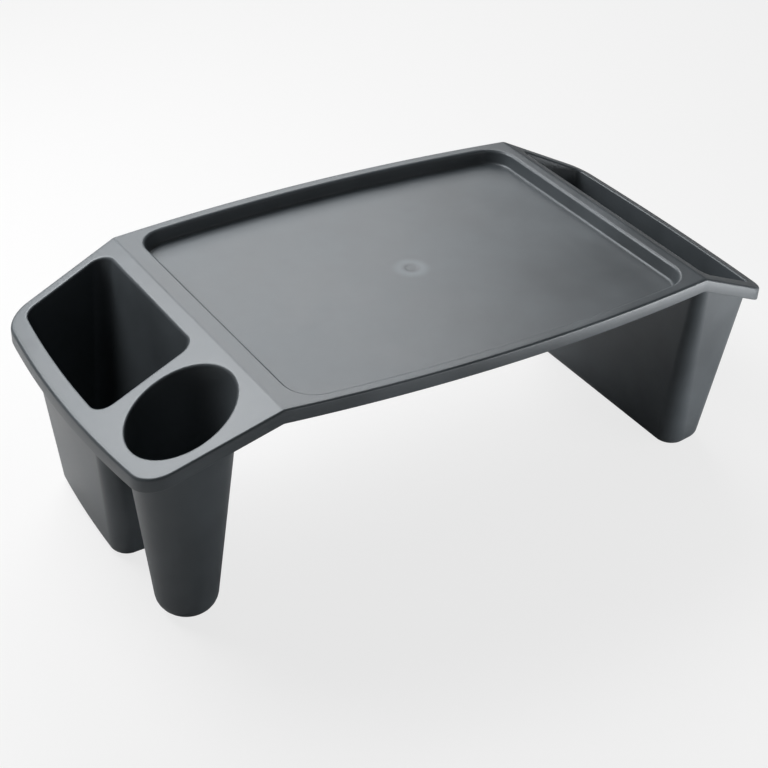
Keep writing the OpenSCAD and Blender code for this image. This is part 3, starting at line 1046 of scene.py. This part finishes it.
@dataclass(frozen=True)
class Wing(SubAssembly):
    """One sloping wing with its rim and pockets, drawn in its own plan of reach and depth.

    Attributes:
        side: Which wing it is.
        corner_radius: Plan radius of its two corners.
    """

    side: Side
    corner_radius: float

    @cached_property
    def run(self) -> float:
        """Reach of the wing past its bend."""
        return self.shell.run(self.side)

    @cached_property
    def bow_radius(self) -> float:
        """Radius of the bowed end edge."""
        bow = self.shell.end_bow
        return (self.shell.end_depth**2 / 4 + bow**2) / (2 * bow)

    def edge(self, reach: float | np.ndarray, inset: float) -> float | np.ndarray:
        """Gives the half depth between the straight long edges at a reach, taken in by an inset."""
        return self.shell.bend_depth / 2 - reach * self.taper - inset * math.hypot(1, self.taper)

    def end_reach(self, y: float, inset: float) -> float:
        """Gives the reach of the bowed end edge at a place along the depth, taken in by an inset."""
        return self.run - self.bow_radius + math.sqrt((self.bow_radius - inset)**2 - y**2)

    @cached_property
    def taper(self) -> float:
        """How far each long edge comes in per unit of reach."""
        return (self.shell.bend_depth - self.shell.end_depth) / 2 / (self.run - self.shell.end_bow)

    @cached_property
    def path(self) -> np.ndarray:
        """Outer edge of the wing in its own plan, from the near end of its bend round to the far end.

        Returns:
            The points of the edge.
        """
        reach, half = self.run - self.shell.end_bow, self.shell.end_depth / 2
        near = Edge((0.0, -self.shell.bend_depth / 2), (reach, -half))
        end = Edge((reach, -half), (reach, half), self.bow_radius)
        arc = rounding(near, end, self.corner_radius)
        bend = self.shell.bends[self.side].wing_stations()
        straight = np.linspace(bend[-1], arc[0][0], Fineness.EDGE.value + 1)[1:-1]
        reaches = np.concatenate([bend, straight])
        half_path = np.concatenate([np.stack([reaches, -self.edge(reaches, 0)], axis=1), arc])
        mirrored = (half_path * np.array([1, -1]))[::-1]
        bowed = end.stretch(half_path[-1], mirrored[0], Fineness.LONG_EDGE.value)
        return np.concatenate([half_path, bowed, mirrored])

    @cached_property
    def path_miters(self) -> np.ndarray:
        """Shift of each path point that moves the edge outwards by one.

        Along the bend's rounding the shift has no part along the reach, so that each section there
        lies square to the table's length, as the deck's do.

        Returns:
            One plan vector for each point.
        """
        path, bend = self.path, Fineness.BEND.value + 1
        shifts = np.zeros_like(path)
        shifts[1:-1] = miters(path[:-2], path[1:-1], path[2:])
        shifts[:bend] = (0, -math.hypot(1, self.taper))
        shifts[-bend:] = -shifts[:bend]
        return shifts

    def place(self, plan: np.ndarray) -> np.ndarray:
        """Moves points from the wing's own plan to the table's."""
        bend = self.shell.bends[self.side]
        return np.stack([bend.x + self.side.value * plan[..., 0], plan[..., 1]], axis=-1)

    def rim(self, name: str) -> bpy.types.Object:
        """Carries the rim's section round the wing's path.

        A point of the section at inset u and rise v lies at path point less u times its miter in
        plan, v above the top surface there.

        Args:
            name: Name of the piece.

        Returns:
            The rim piece.
        """
        section = self.shell.rim_section()
        plan = self.path[:, None] - section[None, :, :1] * self.path_miters[:, None]
        rings = self.shell.lift(self.place(plan), section[:, 1])
        return swept(name, rings, self.side is Side.LEFT)

    def panel(self, name: str, mouths: list[np.ndarray]) -> bpy.types.Object:
        """Makes the sloping plate between the rim, the bend and the mouths' lips.

        Args:
            name: Name of the piece.
            mouths: Wall lines of the mouths, in the wing's own plan.

        Returns:
            The plate.
        """
        outer = self.path - self.shell.flange * self.path_miters
        holes = [grown(mouth, self.shell.lip_width) for mouth in mouths]
        loops = [self.place(loop) for loop in (outer, *holes)]
        if self.side is Side.LEFT:
            loops = [loop[::-1] for loop in loops]
        return plate(name, self.shell, loops[0], loops[1:], False)

    def sunk(self, start: np.ndarray, stop: np.ndarray, drop: float, out: float) -> np.ndarray:
        """Gives the ring of a pocket's wall where it has sunk by a drop from its mouth.

        Each point moves straight from its place at the mouth towards its place at the ground by the
        drop over its height, the ring then grows by out, and its points hang by the drop.

        Args:
            start: Outline at the mouth.
            stop: Outline at the ground.
            drop: Depth below the top surface.
            out: How far the ring is moved outwards.

        Returns:
            Places of the ring's points.
        """
        heights = self.shell.top(self.place(start)[:, 0])[:, None]
        ring = grown(start + (stop - start) * drop / heights, out)
        return self.shell.lift(self.place(ring), -drop)

    def low(self, start: np.ndarray, stop: np.ndarray, height: float | np.ndarray,
            out: float) -> np.ndarray:
        """Gives the ring of a pocket's wall at a height above the ground, or at a height for each point.

        Args:
            start: Outline at the mouth.
            stop: Outline at the ground.
            height: Height above the ground.
            out: How far the ring is moved outwards.

        Returns:
            Places of the ring's points.
        """
        tops = self.shell.top(self.place(start)[:, 0])
        levels = np.broadcast_to(height, tops.shape)
        ring = grown(stop + (start - stop) * (levels / tops)[:, None], out)
        return np.concatenate([self.place(ring), levels[:, None]], axis=1)

    def pocket(self, pocket: Pocket) -> bpy.types.Object:
        """Lofts a pocket through rings, from the flat under its foot up, over the lip and down inside.

        Args:
            pocket: What the pocket is.

        Returns:
            The pocket piece.
        """
        wall, lip, width = self.shell.wall, self.shell.lip_radius, self.shell.lip_width
        mouth, foot = pocket.mouth, pocket.foot
        outer, inner = grown(mouth, wall), grown(foot, -wall)
        outer_tops, inner_tops = (self.shell.top(self.place(ring)[:, 0]) for ring in (outer, mouth))
        turns = np.linspace(0, math.pi / 2, Fineness.FILLET.value + 1)
        rises = np.arange(1, Fineness.WALL.value) / Fineness.WALL.value
        under, fillet = pocket.under_radius, pocket.inner_radius
        floor = wall + fillet
        rings = [self.low(outer, foot, under * (1 - math.cos(t)), under * (math.sin(t) - 1)) for t in turns]
        rings += [self.low(outer, foot, under + (outer_tops - wall - under) * rise, 0) for rise in rises]
        rings += [self.sunk(outer, foot, wall, 0)]
        rings += [self.sunk(mouth, inner, drop, width) for drop in (wall, 0)]
        rings += [self.sunk(mouth, inner, lip * (1 - math.cos(t)), lip * (1 - math.sin(t))) for t in turns]
        rings += [self.low(mouth, inner, floor + (inner_tops - lip - floor) * rise, 0)
                  for rise in rises[::-1]]
        rings += [self.low(mouth, inner, wall + fillet * (1 - math.sin(t)), fillet * (math.cos(t) - 1))
                  for t in turns]
        return swept(pocket.name, np.stack(rings), self.side is Side.LEFT)

    def four_sided(self, inner: float, near: tuple[float, float], far: tuple[float, float], inset: float,
                   radius: float) -> np.ndarray:
        """Draws a four-sided outline whose outer edge follows the wing's bowed end.

        Args:
            inner: Reach of its inner edge.
            near: Where its near edge starts and ends along the depth, inner end first.
            far: The same of its far edge.
            inset: How far its outer edge lies inside the wing's end.
            radius: Radius of its corners.

        Returns:
            The outline in the wing's own plan, counter-clockwise.
        """
        corners = [(inner, near[0]), (self.end_reach(near[1], inset), near[1]),
                   (self.end_reach(far[1], inset), far[1]), (inner, far[0])]
        radii = (0.0, self.bow_radius - inset, 0.0, 0.0)
        edges = [Edge(corners[i], corners[(i + 1) % 4], radii[i]) for i in range(4)]
        return rounded_outline(edges, radius, (Fineness.EDGE.value, Fineness.LONG_EDGE.value) * 2)


@dataclass(frozen=True)
class LeftWing(Wing):
    """The left wing with the storage bin and the oval cup holder.

    Attributes:
        side: The left side.
        corner_radius: Plan radius of its two corners.
        bin_rim: Rim left outside the bin.
        bin_far_rim: Rim left along its far side.
        bin_gap: Distance from the bend to the bin.
        bin_web: Web between the bin and the cup holder.
        bin_skew: How far the bin's near edge runs towards the user per unit of reach.
        bin_radius: Plan radius of the bin's mouth.
        bin_foot_out: How far the bin's outer wall has come in at the ground.
        bin_foot_far: The same of its far wall.
        bin_foot_near: How far its near wall has drawn back at the ground.
        bin_foot_gap: Distance from the bend to its inner wall at the ground.
        bin_foot_skew: Skew of its near wall at the ground.
        bin_foot_radius: Plan radius of its foot.
        foot_radius: Rounding round the underside of its foot.
        floor_radius: Fillet round its floor.
        cup_long: Long half width of the cup mouth.
        cup_short: Short half width of the cup mouth.
        cup_turn: Turn of the oval's long axis from the table's length.
        cup_rim: Distance from the cup mouth to the wing's furthest reach.
        cup_near_rim: Distance from the cup mouth to the wing's near edge.
        cup_foot_radius: Radius of the cup holder's foot.
        cup_round: Rounding round the underside of that foot.
        cup_lean_in: How far that foot is set towards the deck.
        cup_lean_near: How far that foot is set towards the user.
    """

    side: Side = Side.LEFT
    corner_radius: float = 25.5 * MM
    bin_rim: float = 14.1 * MM
    bin_far_rim: float = 9.6 * MM
    bin_gap: float = 12.1 * MM
    bin_web: float = 10.2 * MM
    bin_skew: float = 0.09
    bin_radius: float = 11.5 * MM
    bin_foot_out: float = 34 * MM
    bin_foot_far: float = 14.7 * MM
    bin_foot_near: float = 18.5 * MM
    bin_foot_gap: float = 21 * MM
    bin_foot_skew: float = 0.03
    bin_foot_radius: float = 14 * MM
    foot_radius: float = 8 * MM
    floor_radius: float = 6 * MM
    cup_long: float = 41.75 * MM
    cup_short: float = 37.9 * MM
    cup_turn: float = math.radians(35)
    cup_rim: float = 15.8 * MM
    cup_near_rim: float = 12.1 * MM
    cup_foot_radius: float = 22.1 * MM
    cup_round: float = 15 * MM
    cup_lean_in: float = 0.2 * MM
    cup_lean_near: float = 2.6 * MM

    @cached_property
    def cup_half(self) -> tuple[float, float]:
        """Half widths of the turned oval.

        Returns:
            Its half width along the reach and that along the depth.
        """
        c, s = math.cos(self.cup_turn), math.sin(self.cup_turn)
        along_reach = math.hypot(self.cup_long * c, self.cup_short * s)
        return along_reach, math.hypot(self.cup_long * s, self.cup_short * c)

    @cached_property
    def cup_centre(self) -> np.ndarray:
        """Middle of the cup mouth in the wing's own plan."""
        reach = self.run - self.cup_rim - self.cup_half[0]
        return np.array([reach, self.cup_half[1] - self.edge(reach, self.cup_near_rim)])

    def cup_holder(self) -> Pocket:
        """Draws the cup holder: an ellipse turned in plan that tapers to a circle.

        Both outlines run by the same angle, so every wall line is straight.

        Returns:
            The pocket.
        """
        angles = np.linspace(0, 2 * math.pi, Fineness.OVAL.value, endpoint=False)
        u, v = self.cup_long * np.cos(angles), self.cup_short * np.sin(angles)
        c, s = math.cos(self.cup_turn), math.sin(self.cup_turn)
        mouth = self.cup_centre + np.stack([u * c + v * s, v * c - u * s], axis=1)
        lean = np.array([self.cup_lean_in, self.cup_lean_near])
        turned_angles = angles - self.cup_turn
        circle = np.stack([np.cos(turned_angles), np.sin(turned_angles)], axis=1)
        foot = self.cup_centre - lean + self.cup_foot_radius * circle
        return Pocket("cup_holder_skin", mouth, foot, self.cup_round, self.cup_round - self.shell.wall)

    def bin_near(self, reach: float, skew: float, back: float) -> float:
        """Gives where the bin's near edge lies at a reach, drawn back from the cup holder."""
        web = self.cup_centre[1] + self.cup_half[1] + self.bin_web
        return web + (self.cup_centre[0] - reach) * skew + back

    def bin_outline(self, gap: float, inset: float, far: float, skew: float, back: float,
                    radius: float) -> np.ndarray:
        """Draws the bin's outline at its mouth or at the ground.

        Args:
            gap: Distance from the bend to its inner edge.
            inset: How far its outer edge lies inside the wing's end.
            far: How far its far edge lies inside the wing's far edge.
            skew: How far its near edge runs towards the user per unit of reach.
            back: How far that edge is drawn back from the cup holder.
            radius: Radius of its corners.

        Returns:
            The outline in the wing's own plan.
        """
        reach, flat = self.end_reach(0, inset), self.run - self.shell.end_bow - inset
        near_ends = (self.bin_near(gap, skew, back), self.bin_near(reach, skew, back))
        far_ends = (self.edge(gap, far), self.edge(flat, far))
        return self.four_sided(gap, near_ends, far_ends, inset, radius)

    def storage_bin(self) -> Pocket:
        """Draws the bin, which takes what the cup holder leaves of the wing.

        Returns:
            The pocket.
        """
        mouth = self.bin_outline(self.bin_gap, self.bin_rim, self.bin_far_rim, self.bin_skew, 0,
                                 self.bin_radius)
        foot = self.bin_outline(self.bin_foot_gap, self.bin_foot_out, self.bin_foot_far,
                                self.bin_foot_skew, self.bin_foot_near, self.bin_foot_radius)
        return Pocket("storage_bin_skin", mouth, foot, self.foot_radius, self.floor_radius)

    def pieces(self) -> dict[str, bpy.types.Object]:
        """Builds every piece of the left wing.

        Returns:
            Each piece by the name of the node that it stands for.
        """
        bin_pocket, cup = self.storage_bin(), self.cup_holder()
        return {"left_wing": self.panel("left_wing_skin", [bin_pocket.mouth, cup.mouth]),
                "left_rim": self.rim("left_rim_skin"),
                "storage_bin": self.pocket(bin_pocket), "cup_holder": self.pocket(cup)}


@dataclass(frozen=True)
class RightWing(Wing):
    """The right wing with the long pocket.

    Attributes:
        side: The right side.
        corner_radius: Plan radius of its two corners.
        rim_width: Rim left outside the pocket.
        end_rim: Rim left at the pocket's near and far ends.
        gap: Distance from the bend to the pocket.
        mouth_radius: Plan radius of the pocket's mouth.
        foot_out: How far the outer wall has come in at the ground.
        foot_end: How far the end walls have come in at the ground.
        foot_gap: Distance from the bend to the inner wall at the ground.
        foot_corner: Plan radius of the foot.
        foot_radius: Rounding round the underside of the foot.
        floor_radius: Fillet round the floor.
    """

    side: Side = Side.RIGHT
    corner_radius: float = 20 * MM
    rim_width: float = 12.6 * MM
    end_rim: float = 12 * MM
    gap: float = 10.8 * MM
    mouth_radius: float = 6 * MM
    foot_out: float = 22.3 * MM
    foot_end: float = 29.4 * MM
    foot_gap: float = 21.4 * MM
    foot_corner: float = 16 * MM
    foot_radius: float = 8 * MM
    floor_radius: float = 6 * MM

    def pocket_outline(self, gap: float, inset: float, end: float, radius: float) -> np.ndarray:
        """Draws the pocket's outline at its mouth or at the ground, the same towards the user and away.

        Args:
            gap: Distance from the bend to its inner edge.
            inset: How far its outer edge lies inside the wing's end.
            end: How far its near and far edges lie inside the wing's long edges.
            radius: Radius of its corners.

        Returns:
            The outline in the wing's own plan.
        """
        flat = self.run - self.shell.end_bow - inset
        inner, outer = self.edge(gap, end), self.edge(flat, end)
        return self.four_sided(gap, (-inner, -outer), (inner, outer), inset, radius)

    def side_pocket(self) -> Pocket:
        """Draws the long pocket.

        Returns:
            The pocket.
        """
        mouth = self.pocket_outline(self.gap, self.rim_width, self.end_rim, self.mouth_radius)
        foot = self.pocket_outline(self.foot_gap, self.foot_out, self.foot_end, self.foot_corner)
        return Pocket("side_pocket_skin", mouth, foot, self.foot_radius, self.floor_radius)

    def pieces(self) -> dict[str, bpy.types.Object]:
        """Builds every piece of the right wing.

        Returns:
            Each piece by the name of the node that it stands for.
        """
        pocket = self.side_pocket()
        return {"right_wing": self.panel("right_wing_skin", [pocket.mouth]),
                "right_rim": self.rim("right_rim_skin"), "side_pocket": self.pocket(pocket)}


@dataclass(frozen=True)
class Softbox:
    """A large soft lamp that faces the table.

    Attributes:
        name: Name of the lamp.
        place: Where it hangs.
        width: Its width.
        height: Its height.
        power: Its power in watts.
    """

    name: str
    place: tuple[float, float, float]
    width: float
    height: float
    power: float

    def hang(self, target: Vector) -> None:
        """Hangs the lamp and turns it to a target.

        Args:
            target: Place that the lamp faces.
        """
        data = bpy.data.lights.new(self.name, "AREA")
        data.shape = "RECTANGLE"
        data.size, data.size_y, data.energy = self.width, self.height, self.power
        lamp = bpy.data.objects.new(self.name, data)
        lamp.location = self.place
        lamp.visible_camera = False
        lamp.rotation_euler = (Vector(self.place) - target).to_track_quat("Z", "Y").to_euler()
        bpy.context.collection.objects.link(lamp)


@dataclass(frozen=True)
class Studio:
    """Floor, light and camera of a plain pale studio.

    Attributes:
        camera_place: Where the camera stands.
        camera_target: What it looks at.
        camera_roll: How far it is turned about its own axis, in degrees.
        lens: Its lens in millimetres.
        floor_size: Side of the floor.
        floor_colour: Base colour of the floor, linear.
        floor_roughness: Its roughness.
        floor_glow: Share of plain white in what the camera sees of the floor.
        world_level: Light of the surroundings on the object.
        lamp_target: Place that every lamp faces.
        lamps: The lamps.
    """

    camera_place: tuple[float, float, float] = (-0.6628, -0.9807, 0.8608)
    camera_target: tuple[float, float, float] = (-0.0414, -0.0497, 0.1200)
    camera_roll: float = 2.886
    lens: float = 82.628
    floor_size: float = 14.0
    floor_colour: tuple[float, float, float] = (0.62, 0.62, 0.62)
    floor_roughness: float = 0.9
    floor_glow: float = 0.77
    world_level: float = 0.08
    lamp_target: tuple[float, float, float] = (0.0, 0.0, 0.1)
    lamps: tuple[Softbox, ...] = (
        Softbox("high_softbox", place=(0.67, 1.37, 1.68), width=1.0, height=0.8, power=12.5),
        Softbox("back_softbox", place=(0.74, 1.75, 1.22), width=1.1, height=0.8, power=7.5),
        Softbox("left_softbox", place=(-0.42, 0.55, 0.90), width=0.7, height=0.6, power=13),
        Softbox("near_softbox", place=(0.39, -1.44, 0.23), width=0.8, height=0.2, power=3),
        Softbox("near_strip", place=(0.45, -0.45, 0.05), width=0.4, height=0.08, power=2),
    )

    def camera(self) -> None:
        """Makes the camera at the photograph's viewing angle."""
        data = bpy.data.cameras.new("photo_camera")
        data.lens = self.lens
        camera = bpy.data.objects.new("photo_camera", data)
        place = Vector(self.camera_place)
        aim = (place - Vector(self.camera_target)).to_track_quat("Z", "Y").to_matrix()
        camera.matrix_world = (Matrix.Translation(place) @ aim.to_4x4()
                               @ Matrix.Rotation(math.radians(self.camera_roll), 4, "Z"))
        bpy.context.collection.objects.link(camera)
        bpy.context.scene.camera = camera

    def floor(self) -> None:
        """Lays the pale floor, which the camera sees as white apart from the table's shadow."""
        half = self.floor_size / 2
        corners = [(-half, -half, 0), (half, -half, 0), (half, half, 0), (-half, half, 0)]
        mesh = bpy.data.meshes.new("floor")
        mesh.from_pydata(corners, [], [(0, 1, 2, 3)])
        floor = bpy.data.objects.new("floor", mesh)
        bpy.context.collection.objects.link(floor)
        material = bpy.data.materials.new("pale_floor")
        material.use_nodes = True
        nodes, links = material.node_tree.nodes, material.node_tree.links
        shader = nodes["Principled BSDF"]
        shader.inputs["Base Color"].default_value = (*self.floor_colour, 1)
        shader.inputs["Roughness"].default_value = self.floor_roughness
        white = nodes.new("ShaderNodeEmission")
        path = nodes.new("ShaderNodeLightPath")
        share = nodes.new("ShaderNodeMath")
        share.operation = "MULTIPLY"
        share.inputs[1].default_value = self.floor_glow
        mixed = nodes.new("ShaderNodeMixShader")
        links.new(path.outputs["Is Camera Ray"], share.inputs[0])
        links.new(share.outputs["Value"], mixed.inputs["Fac"])
        links.new(shader.outputs["BSDF"], mixed.inputs[1])
        links.new(white.outputs["Emission"], mixed.inputs[2])
        links.new(mixed.outputs["Shader"], nodes["Material Output"].inputs["Surface"])
        mesh.materials.append(material)

    def world(self) -> None:
        """Lights the surroundings evenly, and shows them white to the camera."""
        world = bpy.data.worlds.new("studio")
        world.use_nodes = True
        nodes, links = world.node_tree.nodes, world.node_tree.links
        background = nodes["Background"]
        background.inputs["Color"].default_value = (1, 1, 1, 1)
        path = nodes.new("ShaderNodeLightPath")
        level = nodes.new("ShaderNodeMapRange")
        level.inputs["To Min"].default_value = self.world_level
        level.inputs["To Max"].default_value = 1
        links.new(path.outputs["Is Camera Ray"], level.inputs["Value"])
        links.new(level.outputs["Result"], background.inputs["Strength"])
        bpy.context.scene.world = world

    def set_up(self) -> None:
        """Sets up the camera, the floor, the surroundings, the lamps and the view transform."""
        bpy.context.scene.view_settings.view_transform = "Standard"
        self.camera()
        self.floor()
        self.world()
        for lamp in self.lamps:
            lamp.hang(Vector(self.lamp_target))


def main() -> None:
    """Builds the dressed sub-assemblies in order, reports their pieces and sets up the studio."""
    logging.basicConfig(level=logging.INFO, format="%(name)s: %(message)s")
    shell = Shell()
    deck = Deck(shell)
    plastic = MouldedPlastic("moulded_charcoal", deck.gate).build()
    for assembly in (deck, LeftWing(shell), RightWing(shell)):
        for node, piece in assembly.dressed(plastic).items():
            log.info("%s stands for %s with %d faces", piece.name, node, len(piece.data.polygons))
    Studio().set_up()


if __name__ == "__main__":
    main()
